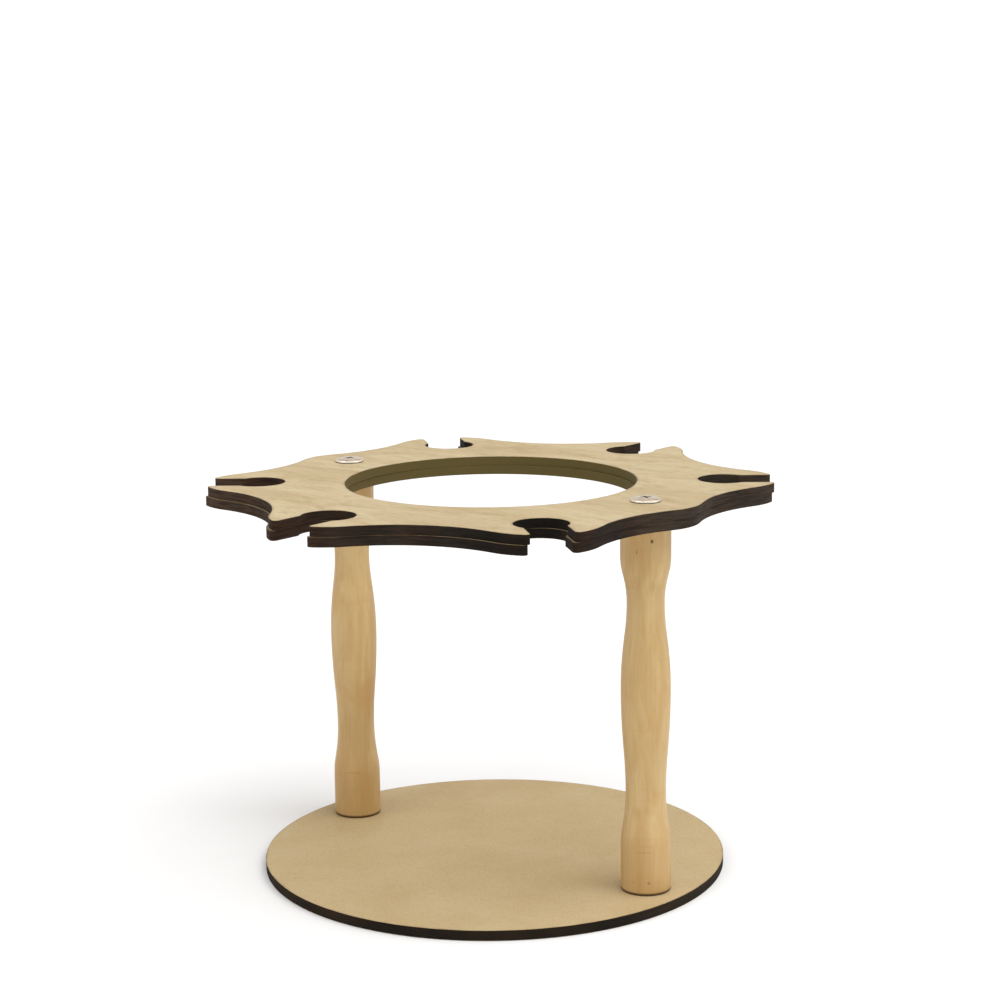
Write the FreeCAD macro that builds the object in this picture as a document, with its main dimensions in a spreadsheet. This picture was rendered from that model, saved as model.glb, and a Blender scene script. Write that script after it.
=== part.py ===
"""Wine bottle and glass holder.

A round base board carries two turned posts, and the posts carry a rack glued from two
laser-cut boards. The rack has one large round hole, and six keyhole slots in its wavy rim.

Millimetres, +Z up. The origin is the centre of the base on its underside, and the posts
stand on the X axis.
"""
import FreeCAD, Part
import math
import os
import Sketcher

SIZES = {
    # base board
    "base_diameter": 178.4,
    "base_thickness": 3.8,
    # turned posts
    "post_length": 139.0,
    "post_diameter": 18.6,
    "foot_height": 20.5,
    "lower_cove_height": 17.0,
    "lower_neck_depth": 1.9,
    "belly_place": 0.47,
    "belly_depth": 0.1,
    "belly_share": 0.62,
    "upper_neck_depth": 2.4,
    "upper_cove_height": 13.5,
    "head_height": 16.5,
    # rack boards, with the gaps measured in from the edge of the base board
    "layer_thickness": 3.6,
    "layer_slip_across": 0.4,
    "layer_slip_along": 0.8,
    "hole_diameter": 111.0,
    "post_gap": 15.6,
    "ear_gap": 3.0,
    "ear_radius": 22.7,
    "pad_radius": 20.2,
    "valley_radius": 53.0,
    # slots
    "slot_pitch": 51.6,
    "pocket_gap": 0.7,
    "pocket_diameter": 19.8,
    "mouth_width": 15.4,
    "lip_round": 1.6,
    "neck_round": 1.0,
    # screws
    "screw_diameter": 4.0,
    "thread_clearance": 0.05,
    "board_clearance": 0.4,
    "point_length": 3.0,
    "point_diameter": 1.6,
    "tip_clearance": 1.0,
    "top_screw_length": 28.0,
    "top_head_diameter": 11.2,
    "top_head_flat": 9.6,
    "top_head_rim": 1.0,
    "top_head_height": 1.6,
    "base_screw_length": 22.0,
    "base_head_diameter": 8.4,
    "recess_span": 4.6,
    "recess_width": 1.2,
    "recess_depth": 1.2,
}

# Distances from the upright axis of the holder, and the half widths of a slot.
POST_REACH = "( base_diameter / 2 - post_gap )"
EAR_REACH = "( base_diameter / 2 - ear_gap )"
POCKET_REACH = "( base_diameter / 2 - pocket_gap )"
POCKET = "( pocket_diameter / 2 )"
MOUTH = "( mouth_width / 2 )"
NECK_REACH = f"( {POCKET_REACH} + sqrt( {POCKET} ^ 2 - {MOUTH} ^ 2 ) )"
LIP_REACH = f"( {EAR_REACH} + sqrt( ear_radius ^ 2 - {MOUTH} ^ 2 ) )"
SCREW_HOLE = "( screw_diameter / 2 + board_clearance )"

SIDES = {"left": -1, "right": 1}
START, END, CENTRE = range(1, 4)
ORIGIN = (-1, 1)

doc = FreeCAD.newDocument("bottle_and_glass_holder")
sheet = doc.addObject("Spreadsheet::Sheet", "sizes")
for row, (alias, size) in enumerate(SIZES.items(), start=1):
    sheet.set(f"A{row}", alias.replace("_", " "))
    sheet.set(f"B{row}", str(size))
    sheet.setAlias(f"B{row}", alias)
doc.recompute()


def named(formula):
    """The formula with each size name pointed at the sheet."""
    words = [f"sizes.{word}" if word in SIZES else word for word in str(formula).split()]
    return " ".join(words)


def value(formula):
    """The number that a formula gives now."""
    result = sheet.evalExpression(named(formula))
    return float(getattr(result, "Value", result))


def bind(thing, field, formula):
    thing.setExpression(field, named(formula))


def new_body(label, x="0", y="0", z="0"):
    """A body whose own origin stands at the formulas x, y and z of the holder."""
    body = doc.addObject("PartDesign::Body", label)
    body.Label = label
    bind(body, "Placement.Base.x", x)
    bind(body, "Placement.Base.y", y)
    bind(body, "Placement.Base.z", z)
    return body


def new_sketch(body, name, plane, lift="0"):
    """A sketch on one of the body's own planes, moved along the plane's normal by lift."""
    sketch = body.newObject("Sketcher::SketchObject", name)
    origin_plane = next(item for item in body.Origin.OriginFeatures if item.Role == plane)
    sketch.AttachmentSupport = [(origin_plane, "")]
    sketch.MapMode = "FlatFace"
    bind(sketch, "AttachmentOffset.Base.z", lift)
    return sketch


def constrain(sketch, kind, *where, formula):
    """A dimension in the sketch, bound to its formula."""
    index = sketch.addConstraint(Sketcher.Constraint(kind, *where, value(formula)))
    bind(sketch, f"Constraints[{index}]", formula)


def hold(sketch, edge, point, x, y):
    """Keep one point of an edge at the formulas x and y."""
    constrain(sketch, "DistanceX", *ORIGIN, edge, point, formula=x)
    constrain(sketch, "DistanceY", *ORIGIN, edge, point, formula=y)


def add_circle(sketch, x, y, radius):
    middle = FreeCAD.Vector(value(x), value(y), 0)
    circle = sketch.addGeometry(Part.Circle(middle, FreeCAD.Vector(0, 0, 1), value(radius)))
    hold(sketch, circle, CENTRE, x, y)
    constrain(sketch, "Radius", circle, formula=radius)


def arc_between(first, last, radius):
    """The short arc from first to last: it bulges to the left, or to the right if radius < 0."""
    chord = last - first
    rise = abs(radius) - math.sqrt(radius * radius - chord.Length * chord.Length / 4)
    aside = FreeCAD.Vector(-chord.y, chord.x, 0).normalize()
    return Part.Arc(first, (first + last) * 0.5 + aside * math.copysign(rise, radius), last)


def add_outline(sketch, corners):
    """A closed outline. Each corner is (x, y, radius), all formulas.

    The radius is that of the arc which leaves the corner, signed as in arc_between, and
    None stands for a straight edge.
    """
    points = [FreeCAD.Vector(value(x), value(y), 0) for x, y, _ in corners]
    edges = []
    for index, (_, _, radius) in enumerate(corners):
        first, last = points[index], points[(index + 1) % len(points)]
        if radius is None:
            edges.append(sketch.addGeometry(Part.LineSegment(first, last)))
        else:
            edges.append(sketch.addGeometry(arc_between(first, last, value(radius))))
    ends = []
    for edge, first in zip(edges, points):
        forward = sketch.getPoint(edge, START).distanceToPoint(first) < 1e-6
        ends.append((START, END) if forward else (END, START))
    for index, (x, y, radius) in enumerate(corners):
        before = index - 1
        sketch.addConstraint(Sketcher.Constraint(
            "Coincident", edges[before], ends[before][1], edges[index], ends[index][0]))
        hold(sketch, edges[index], ends[index][0], x, y)
        if radius is not None:
            constrain(sketch, "Radius", edges[index], formula=f"abs( {radius} )")


def add_pad(body, sketch, length):
    pad = body.newObject("PartDesign::Pad", "board")
    pad.Profile = sketch
    bind(pad, "Length", length)
    return pad


def add_turning(body, sketch, kind="PartDesign::Revolution"):
    """The sketch turned once round its upright axis, added or cut away."""
    turning = body.newObject(kind, "turning")
    turning.Profile = sketch
    turning.ReferenceAxis = (sketch, ["V_Axis"])
    turning.Angle = 360
    return turning


def add_cross_recess(body, lift, upward):
    """The driver's cross in a screw head, cut down from its top or up from its flat face."""
    sketch = new_sketch(body, "cross", "XY_Plane", lift)
    far, near = "recess_span / 2", "recess_width / 2"
    corners = [
        (far, near), (near, near), (near, far), (f"- {near}", far), (f"- {near}", near),
        (f"- {far}", near), (f"- {far}", f"- {near}"), (f"- {near}", f"- {near}"),
        (f"- {near}", f"- {far}"), (near, f"- {far}"), (near, f"- {near}"), (far, f"- {near}"),
    ]
    add_outline(sketch, [(x, y, None) for x, y in corners])
    recess = body.newObject("PartDesign::Pocket", "recess")
    recess.Profile = sketch
    recess.Reversed = upward
    bind(recess, "Length", "recess_depth")


def make_base_disc():
    """The round board, with a countersunk screw hole under each post."""
    body = new_body("base_disc")
    plan = new_sketch(body, "plan", "XY_Plane")
    add_circle(plan, "0", "0", "base_diameter / 2")
    add_pad(body, plan, "base_thickness")

    head = "base_head_diameter / 2"
    section = new_sketch(body, "screw_hole", "XZ_Plane")
    bind(section, "AttachmentOffset.Base.x", POST_REACH)
    add_outline(section, [
        ("0", "0", None),
        (head, "0", None),
        (SCREW_HOLE, f"{head} - {SCREW_HOLE}", None),
        (SCREW_HOLE, "base_thickness", None),
        ("0", "base_thickness", None),
    ])
    doc.recompute()
    bore = add_turning(body, section, "PartDesign::Groove")
    pair = body.newObject("PartDesign::PolarPattern", "both_posts")
    pair.Originals = [bore]
    pair.Axis = (plan, ["N_Axis"])
    pair.Angle = 360
    pair.Occurrences = len(SIDES)
    body.Tip = pair
    return body


def curve_radius(height, width):
    """Radius of the arc, upright at one end, that covers a height and a width."""
    return f"( ( {height} ) ^ 2 + ( {width} ) ^ 2 ) / ( 2 * ( {width} ) )"


def make_post(label, side):
    """A turned post: plain foot and head, two necks and a long belly between them."""
    body = new_body(label, x=f"{side} * {POST_REACH}", z="base_thickness")
    end = "post_diameter / 2"
    pilot = "( screw_diameter / 2 + thread_clearance )"
    lower_pilot = "( base_screw_length - base_thickness + tip_clearance )"
    upper_pilot = "( post_length - top_screw_length + 2 * layer_thickness - tip_clearance )"
    shoulder = "( post_length - head_height )"
    lower_neck = "( foot_height + lower_cove_height )"
    upper_neck = f"( {shoulder} - upper_cove_height )"
    belly = f"( {lower_neck} + belly_place * ( {upper_neck} - {lower_neck} ) )"
    corners = [
        ("0", lower_pilot, None),
        (pilot, lower_pilot, None),
        (pilot, "0", None),
        (end, "0", None),
    ]
    hollow = "( 1 - belly_share )"
    for height, near, depth in ((lower_neck, "foot_height", "lower_neck_depth"),
                                (upper_neck, shoulder, "upper_neck_depth")):
        neck = f"{end} - {depth}"
        cove = curve_radius(f"{height} - {near}", depth)
        tall, wide = f"{belly} - {height}", f"{depth} - belly_depth"
        whole = curve_radius(tall, wide)
        turn = (f"{neck} + {hollow} * ( {wide} )", f"{height} + {hollow} * ( {tall} )")
        neck_curve, belly_curve = f"{hollow} * {whole}", f"- belly_share * {whole}"
        if height == lower_neck:
            corners += [
                (end, near, cove), (neck, height, neck_curve), (*turn, belly_curve),
            ]
        else:
            corners += [
                (f"{end} - belly_depth", belly, belly_curve), (*turn, neck_curve),
                (neck, height, cove), (end, near, None),
            ]
    corners += [
        (end, "post_length", None),
        (pilot, "post_length", None),
        (pilot, upper_pilot, None),
        ("0", upper_pilot, None),
    ]
    section = new_sketch(body, "section", "XZ_Plane")
    add_outline(section, corners)
    doc.recompute()
    add_turning(body, section)
    return body


def rim_rounds():
    """The outward rounds of the rack's rim in turn: (angle, reach, radius) formulas."""
    rounds = []
    for start in (0, 180):
        rounds.append((f"{start}", POST_REACH, "pad_radius"))
        for step in (-1, 0, 1):
            angle = f"{start + 90} + ( {step} ) * slot_pitch"
            rounds.append((angle, EAR_REACH, "ear_radius"))
    return rounds


def slot_angles():
    return [angle for angle, _, radius in rim_rounds() if radius == "ear_radius"]


def add_rim(sketch):
    """The wavy rim: an ear round each slot, a pad over each post, hollows between them."""
    rounds = rim_rounds()
    middles = []
    for angle, reach, _ in rounds:
        turn = math.radians(value(angle))
        middles.append(FreeCAD.Vector(math.cos(turn), math.sin(turn), 0) * value(reach))
    radii = [value(radius) for _, _, radius in rounds]
    hollow = value("valley_radius")
    up = FreeCAD.Vector(0, 0, 1)

    hollows = []
    for index, middle in enumerate(middles):
        after = (index + 1) % len(rounds)
        apart = middles[after] - middle
        near, far = radii[index] + hollow, radii[after] + hollow
        lean = math.acos((apart.Length ** 2 + near ** 2 - far ** 2) / (2 * apart.Length * near))
        heading = math.atan2(apart.y, apart.x) - lean
        hollows.append(middle + FreeCAD.Vector(math.cos(heading), math.sin(heading), 0) * near)

    def add_arc(middle, radius, first, last):
        toward_first, toward_last = first - middle, last - middle
        begin = math.atan2(toward_first.y, toward_first.x)
        end = math.atan2(toward_last.y, toward_last.x)
        return sketch.addGeometry(Part.ArcOfCircle(Part.Circle(middle, up, radius), begin, end))

    outward, inward = [], []
    for index, middle in enumerate(middles):
        after = (index + 1) % len(rounds)
        outward.append(add_arc(middle, radii[index], hollows[index - 1], hollows[index]))
        inward.append(add_arc(hollows[index], hollow, middles[after], middle))
    for index, (angle, reach, radius) in enumerate(rounds):
        after = (index + 1) % len(rounds)
        for joint in ((outward[index], END, inward[index], END),
                      (inward[index], START, outward[after], START)):
            sketch.addConstraint(Sketcher.Constraint("Tangent", *joint))
        constrain(sketch, "Radius", outward[index], formula=radius)
        constrain(sketch, "Radius", inward[index], formula="valley_radius")
        hold(sketch, outward[index], CENTRE,
             f"{reach} * cos( {angle} )", f"{reach} * sin( {angle} )")


def slot_corners(angle):
    """One slot along its own direction: a round pocket and a straight mouth."""
    outside = f"( {EAR_REACH} + ear_radius + mouth_width )"
    path = [
        (f"( {POCKET_REACH} - {POCKET} )", "0", POCKET),
        (NECK_REACH, MOUTH, None),
        (outside, MOUTH, None),
        (outside, f"- {MOUTH}", None),
        (NECK_REACH, f"- {MOUTH}", POCKET),
    ]
    corners = []
    for along, across, radius in path:
        x = f"{along} * cos( {angle} ) - ( {across} ) * sin( {angle} )"
        y = f"{along} * sin( {angle} ) + ( {across} ) * cos( {angle} )"
        corners.append((x, y, radius))
    return corners


def upright_edges(shape, along, across):
    """Names of the upright edges at a place, given by formulas, on each slot's own axes."""
    places = []
    for angle in slot_angles():
        turn = FreeCAD.Rotation(FreeCAD.Vector(0, 0, 1), value(angle))
        for side in SIDES.values():
            places.append(turn.multVec(FreeCAD.Vector(value(along), side * value(across), 0)))
    names = []
    for number, edge in enumerate(shape.Edges, start=1):
        ends = [vertex.Point for vertex in edge.Vertexes]
        foot = min(ends, key=lambda point: point.z)
        flat = FreeCAD.Vector(foot.x, foot.y, 0)
        upright = abs(edge.BoundBox.ZLength - edge.Length) < 1e-6
        if upright and any(flat.distanceToPoint(place) < 1e-3 for place in places):
            names.append(f"Edge{number}")
    return names


def add_slot_round(body, name, along, radius):
    """Rounds the two upright corners of each slot at one reach."""
    base = body.Tip
    doc.recompute()
    names = upright_edges(base.Shape, along, MOUTH)
    if len(names) != len(SIDES) * len(slot_angles()):
        raise RuntimeError(f"{name}: {len(names)} corners found")
    corner = body.newObject("PartDesign::Fillet", name)
    corner.Base = (base, names)
    bind(corner, "Radius", radius)


def make_rack_layer(label, level, way):
    """One laser-cut board, glued a little out of line. The screw holes stay over the posts."""
    across, along = f"{way} * layer_slip_across / 2", f"{way} * layer_slip_along / 2"
    body = new_body(label, x=across, y=along, z=level)
    plan = new_sketch(body, "plan", "XY_Plane")
    add_rim(plan)
    add_circle(plan, "0", "0", "hole_diameter / 2")
    for side in SIDES.values():
        add_circle(plan, f"{side} * {POST_REACH} - ( {across} )", f"- ( {along} )", SCREW_HOLE)
    add_pad(body, plan, "layer_thickness")

    slots = new_sketch(body, "slots", "XY_Plane")
    for angle in slot_angles():
        add_outline(slots, slot_corners(angle))
    cut = body.newObject("PartDesign::Pocket", "slot_cut")
    cut.Profile = slots
    cut.Type = "ThroughAll"
    cut.Reversed = True

    add_slot_round(body, "lips", LIP_REACH, "lip_round")
    add_slot_round(body, "necks", NECK_REACH, "neck_round")
    return body


def make_top_screw(label, side):
    """A low-headed screw, seated on the rack, with its point down in the post."""
    level = "base_thickness + post_length + 2 * layer_thickness"
    body = new_body(label, x=f"{side} * {POST_REACH}", z=level)
    head, shank = "top_head_diameter / 2", "screw_diameter / 2"
    section = new_sketch(body, "section", "XZ_Plane")
    add_outline(section, [
        ("0", "- top_screw_length", None),
        ("point_diameter / 2", "- top_screw_length", None),
        (shank, "point_length - top_screw_length", None),
        (shank, "0", None),
        (head, "0", None),
        (head, "top_head_rim", None),
        ("top_head_flat / 2", "top_head_height", None),
        ("0", "top_head_height", None),
    ])
    doc.recompute()
    add_turning(body, section)
    add_cross_recess(body, "top_head_height", False)
    return body


def make_base_screw(label, side):
    """A countersunk screw, flush with the underside, with its point up in the post."""
    body = new_body(label, x=f"{side} * {POST_REACH}")
    head, shank = "base_head_diameter / 2", "screw_diameter / 2"
    section = new_sketch(body, "section", "XZ_Plane")
    add_outline(section, [
        ("0", "0", None),
        (head, "0", None),
        (shank, f"{head} - {shank}", None),
        (shank, "base_screw_length - point_length", None),
        ("point_diameter / 2", "base_screw_length", None),
        ("0", "base_screw_length", None),
    ])
    doc.recompute()
    add_turning(body, section)
    add_cross_recess(body, "0", True)
    return body


def make_holder():
    pieces = [make_base_disc()]
    for name, side in SIDES.items():
        pieces.append(make_post(f"{name}_post", side))
    seat = "base_thickness + post_length"
    pieces.append(make_rack_layer("rack_lower_layer", seat, -1))
    pieces.append(make_rack_layer("rack_upper_layer", f"{seat} + layer_thickness", 1))
    for name, side in SIDES.items():
        pieces.append(make_top_screw(f"{name}_top_screw", side))
        pieces.append(make_base_screw(f"{name}_base_screw", side))
    return pieces


def export(pieces):
    """Writes each piece to its own file, once the whole document has been found sound."""
    doc.recompute()
    for item in doc.Objects:
        if "Invalid" in item.State or "Error" in item.State:
            raise RuntimeError(f"{item.Label} did not compute: {item.State}")
    for piece in pieces:
        if piece.Shape.isNull() or not piece.Shape.isValid():
            raise RuntimeError(f"{piece.Label} has no sound shape")
    os.makedirs("parts", exist_ok=True)
    for piece in pieces:
        piece.Shape.exportStep(f"parts/{piece.Label}.step")
        print(f"{piece.Label}: {piece.Shape.Volume:.0f} mm3")


export(make_holder())
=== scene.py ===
import math
import bpy
import bmesh
from mathutils import Matrix, Vector


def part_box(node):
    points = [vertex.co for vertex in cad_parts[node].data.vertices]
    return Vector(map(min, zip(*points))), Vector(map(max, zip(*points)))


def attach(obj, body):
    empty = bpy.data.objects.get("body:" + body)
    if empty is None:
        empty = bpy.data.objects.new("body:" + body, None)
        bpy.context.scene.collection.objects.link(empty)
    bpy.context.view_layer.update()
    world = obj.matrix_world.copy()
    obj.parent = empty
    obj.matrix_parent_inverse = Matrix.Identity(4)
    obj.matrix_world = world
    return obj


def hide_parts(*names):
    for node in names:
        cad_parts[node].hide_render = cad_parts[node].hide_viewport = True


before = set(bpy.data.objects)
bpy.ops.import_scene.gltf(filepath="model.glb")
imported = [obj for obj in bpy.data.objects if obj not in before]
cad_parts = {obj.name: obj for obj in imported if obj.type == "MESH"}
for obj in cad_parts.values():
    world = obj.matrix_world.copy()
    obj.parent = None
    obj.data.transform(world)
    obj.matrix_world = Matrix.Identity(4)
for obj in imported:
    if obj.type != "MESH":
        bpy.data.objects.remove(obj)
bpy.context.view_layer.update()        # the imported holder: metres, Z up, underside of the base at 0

mm = 0.001
body = "root"            # nothing on the holder moves
print("frame loaded:", len(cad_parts), "solids")


def tone(look, name):        # a screen colour, three parts of 0 to 255, as the shader's linear one
    def linear(part):
        part /= 255
        return part / 12.92 if part <= 0.04045 else ((part + 0.055) / 1.055) ** 2.4
    return (*map(linear, look[name]), 1.0)


def metres(lengths):
    return [length * mm for length in lengths]


def put(tree, kind, inputs=None, **options):
    made = tree.nodes.new(kind)
    for option, setting in options.items():
        setattr(made, option, setting)
    for socket, what in (inputs or {}).items():
        if isinstance(what, bpy.types.NodeSocket):
            tree.links.new(what, made.inputs[socket])
        else:
            made.inputs[socket].default_value = what
    return made


def reckon(tree, operation, *values):
    return put(tree, "ShaderNodeMath", dict(enumerate(values)), operation=operation).outputs[0]


def vector(tree, operation, *values):        # dot products and lengths give one number
    made = put(tree, "ShaderNodeVectorMath", dict(enumerate(values)), operation=operation)
    return made.outputs["Value" if operation in ("DOT_PRODUCT", "LENGTH") else "Vector"]


def split(tree, where):        # its X, Y and Z
    return put(tree, "ShaderNodeSeparateXYZ", {0: where}).outputs


def fade(tree, value, low, high, start=0.0, end=1.0):        # soft step from low to high
    made = put(tree, "ShaderNodeMapRange", {"Value": value, "From Min": low, "From Max": high,
                                            "To Min": start, "To Max": end},
               interpolation_type="SMOOTHSTEP")
    return made.outputs["Result"]


def mixed(tree, share, first, second):
    made = put(tree, "ShaderNodeMix", {0: share, 6: first, 7: second}, data_type="RGBA")
    return made.outputs[2]


def noise(tree, where, recipe, turn=0.0, shift=(0.0, 0.0, 0.0)):
    stretch, detail, rough, warp = recipe
    laid = put(tree, "ShaderNodeMapping", {"Vector": where, "Scale": stretch, "Location": shift,
                                           "Rotation": (0.0, 0.0, math.radians(turn))})
    made = put(tree, "ShaderNodeTexNoise", {"Vector": laid.outputs[0], "Scale": 1.0,
                                            "Detail": detail, "Roughness": rough,
                                            "Distortion": warp})
    return made.outputs["Fac"]


def layered(tree, face, look, noises):        # tints over one another, each where its noise says
    for name, low, high, most, tint in look["layers"]:
        share = fade(tree, noises[name], low, high, 0.0, most)
        face = mixed(tree, share, face, tone(look, tint))
    return face


def relief(tree, noises, fine):        # this share of the fine noise, the rest of the broad one
    parts = (("fine", fine), ("broad", 1 - fine))
    return reckon(tree, "ADD", *(reckon(tree, "MULTIPLY", noises[name], share)
                                 for name, share in parts))


def fromAxis(tree, across, deep):        # how far a point lies from an upright axis
    squares = [reckon(tree, "MULTIPLY", part, part) for part in (across, deep)]
    return reckon(tree, "SQRT", reckon(tree, "ADD", *squares))


def lying(tree):        # 1 where the surface lies flat, 0 where it stands
    normal = put(tree, "ShaderNodeNewGeometry").outputs["Normal"]
    return reckon(tree, "ABSOLUTE", split(tree, normal)[2])


def newFinish(name, look):
    finish = bpy.data.materials.new(name)
    finish.use_nodes = True
    tree = finish.node_tree
    shader = tree.nodes["Principled BSDF"]
    shader.inputs["Roughness"].default_value = look["plainRough"]
    shader.inputs["Metallic"].default_value = look.get("metallic", 0.0)
    shader.inputs["Specular IOR Level"].default_value = look.get("specular", 0.5)
    where = put(tree, "ShaderNodeTexCoord").outputs["Object"]
    return finish, tree, shader, where


def finishUp(tree, shader, colour, rough, height, depth):
    tree.links.new(colour, shader.inputs["Base Color"])
    tree.links.new(rough, shader.inputs["Roughness"])
    bump = put(tree, "ShaderNodeBump", {"Height": height, "Distance": depth, "Strength": 1.0})
    tree.links.new(bump.outputs[0], shader.inputs["Normal"])


def placed(name, data):        # a new object in the scene, at the origin
    thing = bpy.data.objects.new(name, data)
    bpy.context.scene.collection.objects.link(thing)
    return thing


def smoothed(mesh, degrees):        # rounded looking, but for edges sharper than this
    for polygon in mesh.polygons:
        polygon.use_smooth = True
    mesh.set_sharp_from_angle(angle=math.radians(degrees))


def finalMesh(thing):        # with its modifiers applied
    depsgraph = bpy.context.evaluated_depsgraph_get()
    return bpy.data.meshes.new_from_object(thing.evaluated_get(depsgraph))


def footOf(nodeName):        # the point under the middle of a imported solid
    low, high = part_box(nodeName)
    return Vector(((low.x + high.x) / 2, (low.y + high.y) / 2, low.z))


charLook = {                        # how the laser chars a cut, on every board
    "warmSide": (-0.76, -0.65, 0.0), "litGreySide": (0.76, 0.65, 0.0),        # where each tint shows; the grey side is partly painted light, cut sides toward the right made lighter as if lit from there
    "sideFade": (0.015, 0.085, 0.0, 0.45),
    "tintFade": (0.42, 0.70, 0.0, 0.5),
    "lineFade": (0.40, 0.70, 0.0, 0.65),
    "smokeFade": (0.30, 0.72),
    "patches": ((38.0, 38.0, 38.0), 3.0, 0.55, 0.0),        # stretch, detail, roughness, warp
    "drift": ((17.0, 17.0, 17.0), 2.0, 0.55, 0.0),
    "driftShift": (5.1, 11.9, 1.7),
    "lines": ((120.0, 120.0, 1700.0), 3.0, 0.6, 0.0),
    "smoke": ((130.0, 130.0, 130.0), 3.0, 0.55, 0.0),
    "flat": (0.80, 0.985),          # how level a face is, from cut side to flat
}


def burntSide(tree, where, look, char):        # charred, with streaks along the board
    patches = noise(tree, where, char["patches"])
    drift = noise(tree, where, char["drift"], shift=char["driftShift"])
    lines = noise(tree, where, char["lines"])
    colour = tone(look, "burnt")
    # the grey tint toward the right is partly painted light: cut sides there are lighter, as if lit
    # from the right
    for side, tint, uneven in (("warmSide", "burntWarm", patches),
                               ("litGreySide", "litBurntGrey", drift)):
        toward = vector(tree, "DOT_PRODUCT", where, char[side])
        share = reckon(tree, "ADD", fade(tree, toward, *char["sideFade"]),
                       fade(tree, uneven, *char["tintFade"]))
        colour = mixed(tree, share, colour, tone(look, tint))
    return mixed(tree, fade(tree, lines, *char["lineFade"]), colour, tone(look, "plyLine"))


def smokedEdge(tree, where, face, look, char, strength, reach, least):        # beside each cut
    scorch = put(tree, "ShaderNodeAttribute", attribute_name="scorch").outputs["Fac"]
    uneven = fade(tree, noise(tree, where, char["smoke"]), *char["smokeFade"], least)
    share = reckon(tree, "MULTIPLY", reckon(tree, "POWER", scorch, reach), uneven)
    return mixed(tree, reckon(tree, "MULTIPLY", share, strength), face, tone(look, "smoke"))


veneerLook = {
    "grainTurn": 40.0,              # degrees, the way the veneer runs
    "pale": (199, 182, 145),
    "middle": (184, 164, 125),
    "streak": (156, 130, 92),
    "blush": (193, 168, 135),
    "smoke": (84, 60, 38),
    "burnt": (22, 19, 15),
    "burntWarm": (68, 46, 31),
    # litBurntGrey: grey char that is partly painted light, lighter on the right side
    "litBurntGrey": (74, 62, 52),
    "burntOlive": (100, 88, 50),
    "plyLine": (12, 10, 8),
    "noises": {                     # stretch, detail, roughness, warp
        "broad": ((11.0, 46.0, 20.0), 6.0, 0.66, 1.2),
        "cloud": ((60.0, 150.0, 60.0), 4.0, 0.62, 0.8),
        "fine": ((110.0, 1500.0, 300.0), 4.0, 0.7, 0.0),
        "pores": ((260.0, 2600.0, 300.0), 2.0, 0.5, 0.0),
    },
    "layers": [                     # noise, where it starts, where it's full, how strong, tint
        ("broad", 0.36, 0.62, 1.0, "middle"),
        ("broad", 0.54, 0.78, 0.50, "streak"),
        ("cloud", 0.50, 0.68, 0.65, "blush"),
        ("cloud", 0.48, 0.31, 0.36, "streak"),
        ("fine", 0.46, 0.72, 0.5, "streak"),
        ("pores", 0.60, 0.74, 0.55, "smoke"),
    ],
    "edgeSmoke": (0.75, 2.6, 0.0),        # strength, how fast it thins, least
    "lowerSmoke": (1.0, 1.2, 0.75),       # the same on the lower board
    "lowerBoard": (1.6, 0.6),       # mm above that board's top, where its look fades in
    "ledge": (56.9, 56.3),          # mm from the middle, the charred step inside the large hole
    "ledgeChar": 0.9,
    "holeSide": (58.5, 56.5),       # mm from the middle, the side of that hole
    "holeChar": 0.75,
    "rough": (0.85, 0.58),          # cut sides, faces
    "plainRough": 0.62,             # where a viewer can't follow the one above
    "specular": 0.1,
    "fineRelief": 0.6,              # share of the fine noise in the relief
    "relief": 0.15,                 # mm
}
fibreLook = {
    "pale": (194, 173, 133),
    "middle": (185, 161, 118),
    "fleck": (148, 121, 83),
    "smoke": (104, 76, 50),
    "burnt": (26, 22, 15),
    "burntWarm": (48, 36, 24),
    "litBurntGrey": (44, 37, 28),
    "plyLine": (20, 16, 13),
    "noises": {
        "cloud": ((30.0, 30.0, 30.0), 6.0, 0.7, 0.0),
        "grain": ((1100.0, 1100.0, 1100.0), 4.0, 0.7, 0.0),
    },
    "fluff": ((420.0, 900.0, 400.0), 3.0, 0.6, 1.5),
    "fluffTurn": 25.0,
    "layers": [
        ("cloud", 0.28, 0.76, 1.0, "middle"),
        ("grain", 0.50, 0.74, 0.55, "fleck"),
        ("fluff", 0.56, 0.80, 0.30, "fleck"),
    ],
    "edgeSmoke": (0.6, 2.6, 0.0),
    "rough": (0.85, 0.55),
    "plainRough": 0.60,
    "specular": 0.1,
    "relief": 0.06,
}


def makeVeneerFinish(name, look, char):
    finish, tree, shader, where = newFinish(name, look)
    noises = {label: noise(tree, where, recipe, -look["grainTurn"])
              for label, recipe in look["noises"].items()}
    face = layered(tree, tone(look, "pale"), look, noises)
    face = smokedEdge(tree, where, face, look, char, *look["edgeSmoke"])
    x, y, z = split(tree, where)
    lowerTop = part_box("rack_lower_layer")[1].z
    below = fade(tree, z, *(lowerTop + rise for rise in metres(look["lowerBoard"])))
    face = mixed(tree, below, face,
                 smokedEdge(tree, where, face, look, char, *look["lowerSmoke"]))

    away = fromAxis(tree, x, y)
    inside = fade(tree, away, *metres(look["ledge"]), 0.0, look["ledgeChar"])
    face = mixed(tree, reckon(tree, "MULTIPLY", below, inside), face, tone(look, "burntOlive"))
    side = mixed(tree, fade(tree, away, *metres(look["holeSide"]), 0.0, look["holeChar"]),
                 burntSide(tree, where, look, char), tone(look, "burntOlive"))
    flat = fade(tree, lying(tree), *char["flat"])
    finishUp(tree, shader, mixed(tree, flat, side, face),
             fade(tree, flat, 0.0, 1.0, *look["rough"]),
             relief(tree, noises, look["fineRelief"]), look["relief"] * mm)
    return finish


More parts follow.
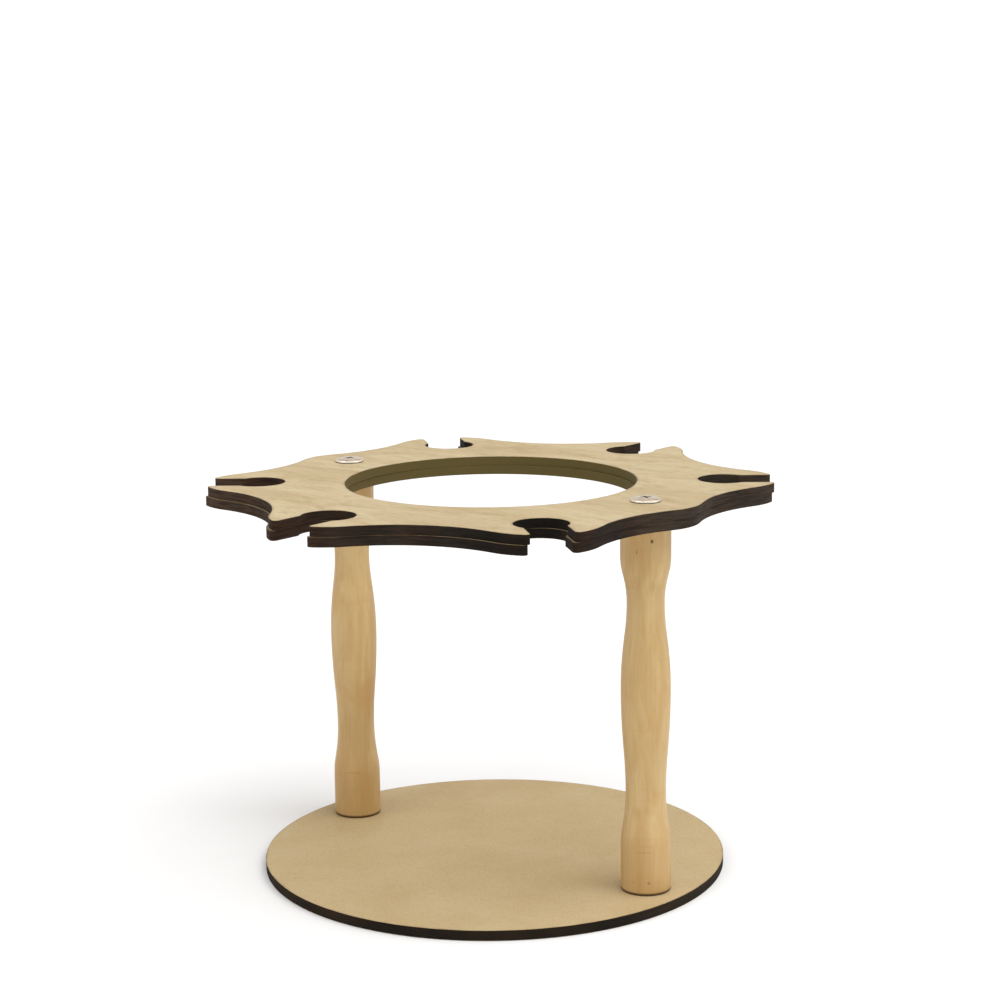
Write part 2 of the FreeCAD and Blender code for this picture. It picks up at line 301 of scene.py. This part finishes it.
def makeFibreFinish(name, look, char):
    finish, tree, shader, where = newFinish(name, look)
    noises = {label: noise(tree, where, recipe) for label, recipe in look["noises"].items()}
    noises["fluff"] = noise(tree, where, look["fluff"], look["fluffTurn"])
    face = layered(tree, tone(look, "pale"), look, noises)
    face = smokedEdge(tree, where, face, look, char, *look["edgeSmoke"])
    flat = fade(tree, lying(tree), *char["flat"])
    finishUp(tree, shader, mixed(tree, flat, burntSide(tree, where, look, char), face),
             fade(tree, flat, 0.0, 1.0, *look["rough"]), noises["grain"], look["relief"] * mm)
    return finish


boardSizes = {
    "edgeRound": 0.16 * mm,         # the cut edge is hardly eased
    "scorchWidth": 1.3 * mm,        # how far the smoke reaches in from a cut
    "mergeWithin": 0.002 * mm,
    "flatWithin": 0.2,              # degrees, faces that count as one
    "cornerOver": 40.0,             # degrees, edges that get eased
    "sharpOver": 25.0,              # degrees, edges that stay crisp in the shading
}


def fillFlat(work, upward, width):        # a smoked strip along every cut, then the plain face
    level = upward * max(upward * vert.co.z for vert in work.verts)
    cut = [edge for edge in work.edges
           if edge.is_boundary and all(abs(vert.co.z - level) < 1e-6 for vert in edge.verts)]
    inward = {}
    for edge in cut:
        middle = (edge.verts[0].co + edge.verts[1].co) / 2
        away = edge.link_faces[0].calc_center_median() - middle
        away.z = 0.0
        along = (edge.verts[1].co - edge.verts[0].co).normalized()
        away = (away - along * away.dot(along)).normalized()
        for vert in edge.verts:
            inward.setdefault(vert, []).append(-away)
    twin = {}
    for vert, ways in inward.items():
        way = sum(ways, Vector()).normalized()
        twin[vert] = work.verts.new(vert.co + way * width / max(way.dot(ways[0]), 0.5))
    rim = []
    for edge in cut:
        first, last = edge.verts
        work.faces.new((first, last, twin[last], twin[first]))
        rim.append(work.edges.get((twin[first], twin[last])))
    bmesh.ops.triangle_fill(work, edges=rim, use_beauty=True, normal=(0.0, 0.0, upward))


def makeBoard(name, nodeName, finish, sizes):
    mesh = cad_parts[nodeName].data.copy()
    mesh.name = name
    work = bmesh.new()
    work.from_mesh(mesh)
    bmesh.ops.remove_doubles(work, verts=work.verts, dist=sizes["mergeWithin"])
    bmesh.ops.dissolve_limit(work, angle_limit=math.radians(sizes["flatWithin"]),
                             verts=work.verts, edges=work.edges)
    corners = [edge for edge in work.edges if edge.is_manifold
               and edge.calc_face_angle() > math.radians(sizes["cornerOver"])]
    bmesh.ops.bevel(work, geom=corners, offset=sizes["edgeRound"], segments=2, profile=0.5,
                    affect="EDGES", clamp_overlap=True)
    work.normal_update()
    flats = [face for face in work.faces if abs(face.normal.z) > 0.9999]
    bmesh.ops.delete(work, geom=flats, context="FACES")
    layer = work.verts.layers.float.new("scorch")        # 1 at a cut, 0 inside the strip
    for vert in work.verts:
        vert[layer] = 1.0
    for upward in (-1, 1):
        fillFlat(work, upward, sizes["scorchWidth"])
    bmesh.ops.recalc_face_normals(work, faces=work.faces)
    work.to_mesh(mesh)
    work.free()
    smoothed(mesh, sizes["sharpOver"])
    mesh.materials.clear()
    mesh.materials.append(finish)
    board = placed(name, mesh)
    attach(board, body)
    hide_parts(nodeName)


veneer = makeVeneerFinish("rackVeneer", veneerLook, charLook)
fibre = makeFibreFinish("baseFibre", fibreLook, charLook)
makeBoard("baseBoard", "base_disc", fibre, boardSizes)
makeBoard("rackLower", "rack_lower_layer", veneer, boardSizes)
makeBoard("rackUpper", "rack_upper_layer", veneer, boardSizes)
print("boards made")


postSizes = {
    "Diameter": 18.6 * mm,
    "Lower neck": 1.9 * mm,         # how deep the lower neck is turned in
    "Upper neck": 2.4 * mm,
    "End round": 0.35 * mm,
    "Sides": 96,
    "Rings": 279,
}
postPlan = {                        # heights in mm above the base board
    "length": 139.0, "foot": 20.5, "lowerNeck": 37.5, "belly": 76.7,
    "upperNeck": 109.0, "head": 122.5,
    "bellyDepth": 0.1,              # mm that the belly lies below the foot's width
    "share": 0.62,                  # of the belly's rise that is full, the rest is hollow
    "steps": 46,                    # points on each curve
    "endShare": 0.4995,             # from mid-length, past which an end is rounded
    "sharpOver": 35.0,              # degrees
}
postLook = {
    "pale": (202, 174, 124),
    "gold": (188, 156, 104),
    "late": (164, 130, 82),
    "honey": (186, 144, 88),
    "red": (160, 108, 72),
    # dust: painted shadow, the dark ring where a post stands on the base board
    "footShadow": (56, 38, 20),
    "knot": (80, 52, 34),
    "noises": {
        "broad": ((105.0, 105.0, 14.0), 4.0, 0.6, 0.8),
        "fine": ((900.0, 900.0, 60.0), 4.0, 0.65, 0.0),
        "blotch": ((70.0, 70.0, 42.0), 5.0, 0.6, 0.6),
        "turning": ((8.0, 8.0, 1400.0), 3.0, 0.6, 0.0),
    },
    "layers": [
        ("broad", 0.32, 0.62, 1.0, "gold"),
        ("broad", 0.58, 0.84, 0.35, "late"),
        ("blotch", 0.48, 0.70, 0.55, "honey"),
        ("fine", 0.48, 0.76, 0.30, "late"),
        ("turning", 0.55, 0.80, 0.16, "late"),
    ],
    "markEdge": (1.25, 0.45),       # of a mark's half size, from clear to full
    "footHoney": (34.0, 22.0), "honeyShare": 0.30,        # mm above the table, how strong
    # painted shadow band at the post's foot: mm above the table, how strong
    "footShadowBand": (5.3, 4.4), "footShadowShare": 0.90,
    "fineFade": (0.3, 0.8),
    "rough": (0.42, 0.56),          # over the fine noise's range
    "plainRough": 0.48,
    "specular": 0.3,
    "fineRelief": 0.5,
    "relief": 0.15,                 # mm
}
postMarks = {                       # (x, y, z) mm, half sizes mm, colour, strength
    "left": [
        ((-68.0, -8.0, 23.0), (6.0, 5.0, 0.4), "red", 0.25),
        ((-66.0, -5.5, 64.0), (0.4, 0.4, 1.4), "knot", 0.4),
    ],
    "right": [
        ((80.8, -5.9, 137.0), (0.6, 0.6, 0.8), "knot", 0.9),
        ((76.2, -8.9, 133.0), (0.35, 0.35, 0.9), "knot", 0.35),
        ((80.0, -6.8, 8.9), (0.7, 0.7, 0.6), "knot", 0.5),
        ((74.7, -9.2, 8.7), (0.5, 0.5, 0.4), "knot", 0.25),
        ((78.6, -7.0, 20.6), (4.2, 3.0, 0.4), "red", 0.30),
        ((79.6, -6.6, 22.8), (3.4, 3.0, 0.3), "red", 0.22),
        ((69.6, -7.2, 78.0), (0.4, 0.4, 1.2), "knot", 0.45),
        ((68.9, -7.0, 62.0), (0.4, 0.4, 1.0), "knot", 0.35),
    ],
}


def arcRise(far, run, depth):        # depth of a round cove at run from its deepest point
    bend = (far * far + depth * depth) / (2 * depth)
    return depth - (bend - math.sqrt(max(bend * bend - run * run, 0.0)))


def bellyDrop(plan, height, neck, depth):        # neck to belly: a hollow arc, then a full one
    tall, wide = abs(plan["belly"] - neck), depth - plan["bellyDepth"]
    whole = (tall * tall + wide * wide) / (2 * wide)
    hollow = 1 - plan["share"]
    run = abs(height - neck)
    if run < hollow * tall:
        bend = hollow * whole
        return depth - (bend - math.sqrt(bend * bend - run * run))
    bend = plan["share"] * whole
    back = tall - run
    return plan["bellyDepth"] + (bend - math.sqrt(bend * bend - back * back))


def eased(points):        # sandpaper takes the corners off the shoulders
    inner = [(here[0], (before[1] + 2 * here[1] + after[1]) / 4)
             for before, here, after in zip(points, points[1:], points[2:])]
    return [points[0], *inner, points[-1]]


def neckShapes(plan, depths):        # two curves: share of the length, share of the neck's depth
    foot, lowerNeck, belly, upperNeck, head, length = (
        plan[key] for key in ("foot", "lowerNeck", "belly", "upperNeck", "head", "length"))
    lower, upper = [], []
    for step in range(plan["steps"] + 1):
        height = length * step / plan["steps"]
        low = high = 0.0
        if foot < height <= lowerNeck:
            low = arcRise(lowerNeck - foot, lowerNeck - height, depths[0])
        elif lowerNeck < height <= belly:
            low = bellyDrop(plan, height, lowerNeck, depths[0])
        elif belly < height <= upperNeck:
            high = bellyDrop(plan, height, upperNeck, depths[1])
        elif upperNeck < height < head:
            high = arcRise(head - upperNeck, height - upperNeck, depths[1])
        lower.append((height / length, low / depths[0]))
        upper.append((height / length, high / depths[1]))
    return eased(lower), eased(upper)


def floatCurve(tree, points, value):
    made = put(tree, "ShaderNodeFloatCurve", {"Value": value})
    curve = made.mapping.curves[0]
    for where, share in points[1:-1]:
        curve.points.new(where, share)
    curve.points[0].location = points[0]
    curve.points[-1].location = points[-1]
    for point in curve.points:
        point.handle_type = "AUTO_CLAMPED"
    made.mapping.update()
    return made.outputs[0]


def newTree(name, sockets):        # a geometry tree that takes these sockets, in this order
    tree = bpy.data.node_groups.new(name, "GeometryNodeTree")
    tree.interface.new_socket("Geometry", in_out="OUTPUT", socket_type="NodeSocketGeometry")
    for kind, labels in sockets:
        for label in labels:
            tree.interface.new_socket(label, in_out="INPUT", socket_type=f"NodeSocket{kind}")
    return tree, put(tree, "NodeGroupInput").outputs


def finishTree(tree, geometry, finish):        # plain mesh in one finish
    whole = put(tree, "GeometryNodeRealizeInstances", {0: geometry})
    done = put(tree, "GeometryNodeSetMaterial", {"Geometry": whole.outputs[0],
                                                 "Material": finish})
    put(tree, "NodeGroupOutput", {0: done.outputs[0]})
    return tree


def makePostTree(plan, sizes):
    tree, given = newTree("turnedPost", (
        ("Vector", ("Foot",)),
        ("Float", ("Length", "Diameter", "Lower neck", "Upper neck", "End round")),
        ("Int", ("Sides", "Rings")),
        ("Material", ("Finish",))))
    rise = put(tree, "ShaderNodeCombineXYZ", {2: given["Length"]}).outputs[0]
    line = put(tree, "GeometryNodeCurvePrimitiveLine", {
        "Start": given["Foot"], "End": vector(tree, "ADD", given["Foot"], rise)})
    rings = put(tree, "GeometryNodeResampleCurve", {"Curve": line.outputs[0],
                                                    "Count": given["Rings"]})
    share = put(tree, "GeometryNodeSplineParameter").outputs["Factor"]
    lower, upper = neckShapes(plan, (sizes["Lower neck"] / mm, sizes["Upper neck"] / mm))
    radius = reckon(tree, "MULTIPLY", given["Diameter"], 0.5)
    for points, depth in ((lower, given["Lower neck"]), (upper, given["Upper neck"])):
        dip = reckon(tree, "MULTIPLY", floatCurve(tree, points, share), depth)
        radius = reckon(tree, "SUBTRACT", radius, dip)
    fromMiddle = reckon(tree, "ABSOLUTE", reckon(tree, "SUBTRACT", share, 0.5))
    ends = reckon(tree, "GREATER_THAN", fromMiddle, plan["endShare"])
    radius = reckon(tree, "SUBTRACT", radius, reckon(tree, "MULTIPLY", ends, given["End round"]))
    ring = put(tree, "GeometryNodeCurvePrimitiveCircle", {"Resolution": given["Sides"],
                                                          "Radius": 1.0})
    skin = put(tree, "GeometryNodeCurveToMesh", {
        "Curve": rings.outputs[0], "Profile Curve": ring.outputs[0],
        "Scale": radius, "Fill Caps": True})
    return finishTree(tree, skin.outputs[0], given["Finish"])


def socketId(tree, label):
    return next(item.identifier for item in tree.interface.items_tree
                if item.name == label and item.in_out == "INPUT")


def grown(name, tree, values, start=None):        # what a node tree makes, as a plain mesh object
    seed = placed(name, start or bpy.data.meshes.new(name))
    growth = seed.modifiers.new("growth", "NODES")
    growth.node_group = tree
    for label, what in values.items():
        growth[socketId(tree, label)] = what
    bpy.context.view_layer.update()
    mesh = finalMesh(seed)
    seed.modifiers.remove(growth)
    seed.data = mesh
    mesh.name = name
    return seed


def makeTurnedFinish(name, look, marks, shift):
    finish, tree, shader, where = newFinish(name, look)
    noises = {label: noise(tree, where, recipe, shift=shift)
              for label, recipe in look["noises"].items()}
    colour = layered(tree, tone(look, "pale"), look, noises)
    for place, size, tint, strength in marks:
        gap = vector(tree, "SUBTRACT", where, metres(place))
        gap = vector(tree, "MULTIPLY", gap, [1 / part for part in metres(size)])
        gap = vector(tree, "LENGTH", gap)
        share = fade(tree, gap, *look["markEdge"], 0.0, strength)
        colour = mixed(tree, share, colour, tone(look, tint))
    level = split(tree, where)[2]
    # the second tint is painted shadow, a dark ring where the post meets the base board
    for tint, edge, strength in (("honey", "footHoney", "honeyShare"),
                                 ("footShadow", "footShadowBand", "footShadowShare")):
        share = fade(tree, level, *metres(look[edge]), 0.0, look[strength])
        colour = mixed(tree, share, colour, tone(look, tint))
    rough = fade(tree, noises["fine"], *look["fineFade"], *look["rough"])
    finishUp(tree, shader, colour, rough, relief(tree, noises, look["fineRelief"]),
             look["relief"] * mm)
    return finish


postTree = makePostTree(postPlan, postSizes)
for side in ("left", "right"):
    nodeName = f"{side}_post"
    foot = footOf(nodeName)
    shift = (foot.x * 30, 0.4, 0.1)        # each post has its own grain
    finish = makeTurnedFinish(f"{side}PostWood", postLook, postMarks[side], shift)
    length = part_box(nodeName)[1].z - foot.z
    post = grown(f"{side}Post", postTree,
                 dict(postSizes, Foot=foot, Length=length, Finish=finish))
    smoothed(post.data, postPlan["sharpOver"])
    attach(post, body)
    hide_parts(nodeName)
print("posts turned")


topScrewSizes = {
    "Shank width": 3.6 * mm, "Shank length": 23.0 * mm, "Point length": 5.0 * mm,
    "Thread pitch": 1.5 * mm, "Thread rise": 0.35 * mm,
    "Twist": 0.7,                   # radians from the first screw's recess to the second's
}
baseScrewSizes = dict(topScrewSizes, **{
    "Shank length": 18.0 * mm, "Point length": 4.0 * mm, "Twist": 0.4})
headPlan = {                        # mm, each outline from the axis at the top to the axis below
    "low": [(0.0, 1.6), (2.6, 1.58), (4.3, 1.46), (5.1, 1.24), (5.5, 0.95), (5.6, 0.6),
            (5.6, 0.14), (5.5, 0.03), (5.3, 0.0), (0.0, 0.0)],
    "flush": [(0.0, 0.0), (4.05, 0.0), (4.2, -0.12), (4.1, -0.3), (1.9, -2.4), (0.0, -2.4)],
    "recessSpan": 4.6, "recessWidth": 1.15, "recessDepth": 1.2,
    "recessTaper": 0.72,            # the recess's floor, as a share of its mouth
    "sides": 96,
    "sharpOver": 32.0,              # degrees
}
shankPlan = {
    "sides": 32,
    "pointWidth": 0.2 * mm,
    "threadShare": 0.8,             # the top fifth of the shank has no thread
    "coilSteps": 24,
    "firstTurn": 0.3,               # radians, how the first screw's recess stands
}
steelLook = {
    # rim: painted highlight on the heads' steep sides
    "rim": (236, 228, 216),
    # bright and dull: the steel's tone plus a painted reflection of the wood around it
    "steelBrightReflection": (192, 175, 150),
    "steelDullReflection": (175, 157, 131),
    # recess: painted shade inside the cross recess
    "recess": (104, 90, 74),
    "seatShadow": (70, 56, 40),           # painted shadow, the dark line where a head meets the wood
    "scratch": ((500.0, 2600.0, 900.0), 3.0, 0.55, 0.0),
    "bloom": ((420.0, 420.0, 420.0), 3.0, 0.55, 0.0),
    "bloomFade": (0.4, 0.65),
    "steepFade": (0.90, 0.60),      # how level a face is, from the top of a head to its sides
    "recessReach": (3.6, 4.2),      # mm from the screw's axis, from recess to rim
    "seatShadowReach": (0.50, 0.20),      # mm from the wood
    "seatShadowShare": 0.85,
    "scratchFade": (0.3, 0.7),
    "rough": (0.18, 0.34),
    "plainRough": 0.22,
    "metallic": 1.0,
    "relief": 0.01,                 # mm
}


def turnedHead(name, outline, sides):
    work = bmesh.new()
    verts = [work.verts.new((across * mm, 0.0, level * mm)) for across, level in outline]
    edges = [work.edges.new(pair) for pair in zip(verts, verts[1:])]
    bmesh.ops.spin(work, geom=verts + edges, axis=(0, 0, 1), cent=(0, 0, 0), steps=sides,
                   angle=math.tau, use_merge=True)
    bmesh.ops.remove_doubles(work, verts=work.verts, dist=0.001 * mm)
    bmesh.ops.recalc_face_normals(work, faces=work.faces)
    mesh = bpy.data.meshes.new(name)
    work.to_mesh(mesh)
    work.free()
    return mesh


def crossCutter(plan, level):
    far, near = plan["recessSpan"] / 2 * mm, plan["recessWidth"] / 2 * mm
    plot = [(far, near), (near, near), (near, far), (-near, far), (-near, near), (-far, near),
            (-far, -near), (-near, -near), (-near, -far), (near, -far), (near, -near),
            (far, -near)]
    work = bmesh.new()
    top, low, taper = level + mm, level - plan["recessDepth"] * mm, plan["recessTaper"]
    upper = [work.verts.new((x, y, top)) for x, y in plot]
    lower = [work.verts.new((x * taper, y * taper, low)) for x, y in plot]
    work.faces.new(upper)
    work.faces.new(lower[::-1])
    for index in range(len(plot)):
        after = (index + 1) % len(plot)
        work.faces.new((upper[index], lower[index], lower[after], upper[after]))
    bmesh.ops.recalc_face_normals(work, faces=work.faces)
    mesh = bpy.data.meshes.new("crossCutter")
    work.to_mesh(mesh)
    work.free()
    return placed("crossCutter", mesh)


def recessedHead(name, kind, plan):
    head = placed(name, turnedHead(name, plan[kind], plan["sides"]))
    cutter = crossCutter(plan, plan[kind][0][1] * mm)
    cut = head.modifiers.new("recess", "BOOLEAN")
    cut.object = cutter
    cut.solver = "EXACT"
    bpy.context.view_layer.update()
    mesh = finalMesh(head)
    for scrap in (head, cutter):
        bpy.data.objects.remove(scrap)
    return mesh


def lowered(tree, made, distance):
    drop = put(tree, "ShaderNodeCombineXYZ", {2: reckon(tree, "MULTIPLY", distance, -1.0)})
    moved = put(tree, "GeometryNodeTransform", {"Geometry": made.outputs[0],
                                                "Translation": drop.outputs[0]})
    return moved.outputs[0]


def makeScrewTree(plan):
    tree, given = newTree("screwPair", (
        ("Geometry", ("Head",)),
        ("Vector", ("First", "Second", "Turn")),
        ("Float", ("Shank width", "Shank length", "Point length", "Thread pitch",
                   "Thread rise", "Twist")),
        ("Material", ("Finish",))))
    half = reckon(tree, "MULTIPLY", given["Shank width"], 0.5)
    shank = put(tree, "GeometryNodeMeshCone", {
        "Vertices": plan["sides"], "Radius Top": half, "Radius Bottom": half,
        "Depth": given["Shank length"]})
    point = put(tree, "GeometryNodeMeshCone", {
        "Vertices": plan["sides"], "Radius Top": half, "Radius Bottom": plan["pointWidth"],
        "Depth": given["Point length"]})
    helix = put(tree, "GeometryNodeCurveSpiral", {
        "Resolution": plan["coilSteps"], "Start Radius": half, "End Radius": half,
        "Rotations": reckon(tree, "DIVIDE", given["Shank length"], given["Thread pitch"]),
        "Height": reckon(tree, "MULTIPLY", given["Shank length"], plan["threadShare"])})
    ridge = put(tree, "GeometryNodeCurvePrimitiveCircle", {
        "Resolution": 4, "Radius": given["Thread rise"]})
    thread = put(tree, "GeometryNodeCurveToMesh", {
        "Curve": helix.outputs[0], "Profile Curve": ridge.outputs[0], "Fill Caps": True})
    whole = reckon(tree, "ADD", given["Shank length"], given["Point length"])
    screw = put(tree, "GeometryNodeJoinGeometry")
    for part in (given["Head"], lowered(tree, shank, given["Shank length"]),
                 lowered(tree, point, whole), lowered(tree, thread, given["Shank length"])):
        tree.links.new(part, screw.inputs[0])

    pair = put(tree, "GeometryNodeMeshLine", {
        "Count": 2, "Start Location": given["First"],
        "Offset": vector(tree, "SUBTRACT", given["Second"], given["First"])})
    order = put(tree, "GeometryNodeInputIndex").outputs[0]
    twist = put(tree, "ShaderNodeCombineXYZ", {2: reckon(tree, "MULTIPLY", order, given["Twist"])})
    turn = put(tree, "FunctionNodeEulerToRotation", {
        0: vector(tree, "ADD", given["Turn"], twist.outputs[0])})
    screws = put(tree, "GeometryNodeInstanceOnPoints", {
        "Points": pair.outputs[0], "Instance": screw.outputs[0], "Rotation": turn.outputs[0]})
    return finishTree(tree, screws.outputs[0], given["Finish"])


def makeSteelFinish(name, look, screwReach, seatLevel):
    finish, tree, shader, where = newFinish(name, look)
    scratch = noise(tree, where, look["scratch"])
    bloom = noise(tree, where, look["bloom"])
    # the steel's tone, tinted warm as a painted reflection of the wood
    colour = mixed(tree, fade(tree, bloom, *look["bloomFade"]),
                   tone(look, "steelBrightReflection"), tone(look, "steelDullReflection"))
    x, y, z = split(tree, where)
    aside = reckon(tree, "SUBTRACT", reckon(tree, "ABSOLUTE", x), screwReach)
    # painted shade inside the cross recess, and a painted highlight on the head's steep rim
    steepHighlightAndShade = mixed(tree, fade(tree, fromAxis(tree, aside, y), *metres(look["recessReach"])),
                  tone(look, "recess"), tone(look, "rim"))
    colour = mixed(tree, fade(tree, lying(tree), *look["steepFade"]), colour, steepHighlightAndShade)
    # painted shadow in a narrow band where a head meets the wood
    fromSeat = reckon(tree, "ABSOLUTE", reckon(tree, "SUBTRACT", z, seatLevel))
    seatShadow = fade(tree, fromSeat, *metres(look["seatShadowReach"]), 0.0, look["seatShadowShare"])
    colour = mixed(tree, seatShadow, colour, tone(look, "seatShadow"))
    finishUp(tree, shader, colour, fade(tree, scratch, *look["scratchFade"], *look["rough"]),
             scratch, look["relief"] * mm)
    return finish


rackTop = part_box("rack_upper_layer")[1].z
steel = makeSteelFinish("screwSteel", steelLook, footOf("right_top_screw").x, rackTop)
screwTree = makeScrewTree(shankPlan)
for name, kind, board, level, flip, sizes in (
        ("topScrews", "low", "top", rackTop, 0.0, topScrewSizes),
        ("baseScrews", "flush", "base", 0.0, math.pi, baseScrewSizes)):
    nodeNames = [f"{side}_{board}_screw" for side in ("left", "right")]
    places = [footOf(nodeName) for nodeName in nodeNames]
    for place in places:
        place.z = level
    screws = grown(name, screwTree,
                   dict(sizes, First=places[0], Second=places[1],
                        Turn=Vector((flip, 0.0, shankPlan["firstTurn"])), Finish=steel),
                   recessedHead(name, kind, headPlan))
    smoothed(screws.data, headPlan["sharpOver"])
    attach(screws, body)
    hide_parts(*nodeNames)
print("screws driven")


stagePlan = {
    "halfWidth": 40.0,              # metres
    "drop": 0.0002,                 # metres below the holder, so that the faces don't meet
    "paper": (0.93, 0.93, 0.93, 1.0),
    "plainRough": 0.9,
    "specular": 0.1,
}
floorMesh = bpy.data.meshes.new("floor")
reach, depth = stagePlan["halfWidth"], -stagePlan["drop"]
floorMesh.from_pydata([(-reach, -reach, depth), (reach, -reach, depth),
                       (reach, reach, depth), (-reach, reach, depth)], [], [(0, 1, 2, 3)])
floor = placed("floor", floorMesh)
paper, _, paperShader, _ = newFinish("floorPaper", stagePlan)
paperShader.inputs["Base Color"].default_value = stagePlan["paper"]
floorMesh.materials.append(paper)


viewPlan = {                        # the photograph's standpoint, round the holder's upright axis
    "lens": 83.05, "distance": 0.8646, "height": 0.3020,
    "round": 40.41, "pitch": 10.463, "yaw": 0.252, "roll": -0.704,
}


def addCamera(plan):
    pitch, yaw, roll = (math.radians(plan[key]) for key in ("pitch", "yaw", "roll"))
    ahead = Vector((math.sin(yaw) * math.cos(pitch), math.cos(yaw) * math.cos(pitch),
                    -math.sin(pitch)))
    right = Vector((math.cos(yaw), -math.sin(yaw), 0.0))
    down = ahead.cross(right)
    across = math.cos(roll) * right - math.sin(roll) * down
    upward = -(math.sin(roll) * right + math.cos(roll) * down)
    turn = Matrix.Rotation(math.radians(plan["round"]), 3, "Z")
    lens = bpy.data.cameras.new("photoView")
    lens.lens = plan["lens"]
    lens.sensor_width = 36.0
    lens.clip_end = 20.0
    camera = placed("photoView", lens)
    axes = [turn @ axis for axis in (across, upward, -ahead)]
    place = turn @ Vector((0.0, -plan["distance"], plan["height"]))
    camera.matrix_world = Matrix.Translation(place) @ Matrix(axes).transposed().to_4x4()
    bpy.context.scene.camera = camera
    return turn


studioLight = {                     # places are as the camera sees them: right, away, up
    "sun": {"from": (0.60, -0.45, 1.5), "strength": 2.0, "softness": 60.0},
    "panels": {
        "leftPanel": {"from": (-1.4, -0.9, 1.0), "size": (1.0, 1.0), "power": 6.0},
        "rightPanel": {"from": (1.5, -0.5, 0.7), "size": (0.9, 1.2), "power": 2.0},
    },
    "aim": (0.0, 0.0, 0.09),
    "sky": (0.58, 1.05),            # on the wood, and behind the holder and in the steel
}


def addLight(name, kind, energy, place, aim):
    light = bpy.data.lights.new(name, kind)
    light.energy = energy
    lamp = placed(name, light)
    lamp.location = place
    lamp.rotation_euler = (place - aim).to_track_quat("Z", "Y").to_euler()
    return light


def addSky(levels):
    world = bpy.data.worlds.new("studio")
    bpy.context.scene.world = world
    world.use_nodes = True
    tree = world.node_tree
    sky = tree.nodes["Background"]
    sky.inputs["Color"].default_value = (1.0, 1.0, 1.0, 1.0)
    rays = put(tree, "ShaderNodeLightPath").outputs
    seen = reckon(tree, "MAXIMUM", rays["Is Camera Ray"], rays["Is Glossy Ray"])
    tree.links.new(fade(tree, seen, 0.0, 1.0, *levels), sky.inputs["Strength"])


bpy.context.scene.view_settings.view_transform = "Standard"
turn = addCamera(viewPlan)
aim = Vector(studioLight["aim"])
for name, panel in studioLight["panels"].items():
    light = addLight(name, "AREA", panel["power"], turn @ Vector(panel["from"]), aim)
    light.shape = "RECTANGLE"
    light.size, light.size_y = panel["size"]
sun = studioLight["sun"]
light = addLight("sun", "SUN", sun["strength"], turn @ Vector(sun["from"]), Vector())
light.angle = math.radians(sun["softness"])
addSky(studioLight["sky"])
print("studio set")
